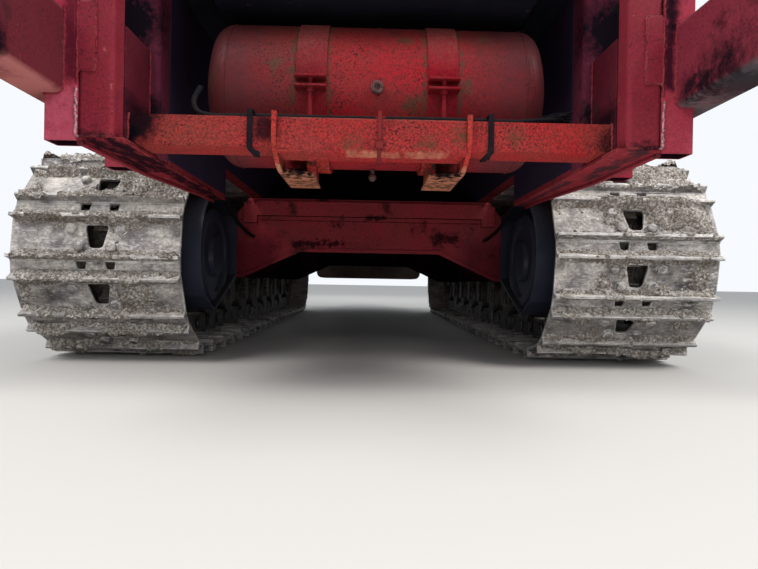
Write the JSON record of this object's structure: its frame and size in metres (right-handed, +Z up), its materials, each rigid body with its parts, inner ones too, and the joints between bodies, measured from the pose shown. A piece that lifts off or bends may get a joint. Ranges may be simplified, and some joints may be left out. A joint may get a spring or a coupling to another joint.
{
  "type": "tracked chassis",
  "caption": "Crawler chassis with grouser tracks, arched cross beams and a main frame that carries a strapped air tank.",
  "frame": {"origin": "on the ground, under the middle of the tracks", "axes": "+Y along the machine, away from the end with the air tank, +X across it, +Z up"},
  "size_m": [2.59, 6.7, 1.215],
  "materials": {
    "black_cover": "satin, dusty",
    "black_rubber": "matt, dusty",
    "dark_brown": "dirty",
    "dark_red": "dirty paint",
    "dusty_brown": "dusty",
    "dusty_red": "dusty, chipped paint",
    "port_steel": "dull",
    "red": "dusty paint",
    "track_steel": "worn, dusty",
    "worn_steel": "worn"
  },
  "bodies": {
    "root": {"air_tank": "dusty_red", "bar_bands": "black_rubber", "bar_hose": "black_rubber", "bottom_rollers_left": "worn_steel", "bottom_rollers_right": "worn_steel", "carrier_rollers_left": "worn_steel", "carrier_rollers_right": "worn_steel", "coupling_arm_left": "red", "coupling_arm_right": "red", "cross_beam_far": "red", "cross_beam_near": "red", "drive_guard_left": "black_cover", "drive_guard_right": "black_cover", "drive_hose_left": "black_rubber", "drive_hose_right": "black_rubber", "drive_motor_left": "black_cover", "drive_motor_right": "black_cover", "far_box": "dusty_brown", "far_cross_member": "dark_red", "final_drive_left": "dark_red", "final_drive_right": "dark_red", "gusset_left": "red", "gusset_right": "red", "idler_left": "worn_steel", "idler_right": "worn_steel", "idler_yoke_left": "dark_red", "idler_yoke_right": "dark_red", "leg_sockets_left": "red", "leg_sockets_right": "red", "main_beam_left": "red", "main_beam_right": "red", "near_post_left": "red", "near_post_right": "red", "second_post_left": "red", "second_post_right": "red", "sprocket_left": "worn_steel", "sprocket_right": "worn_steel", "tank_bar": "dusty_red", "tank_bracket_left": "dusty_red", "tank_bracket_right": "dusty_red", "tank_fittings": "port_steel", "tank_straps": "dusty_red", "track_frame_left": "dark_red", "track_frame_right": "dark_red", "track_left": "track_steel", "track_right": "track_steel", "trough": "dark_brown"}
  },
  "joints": []
}
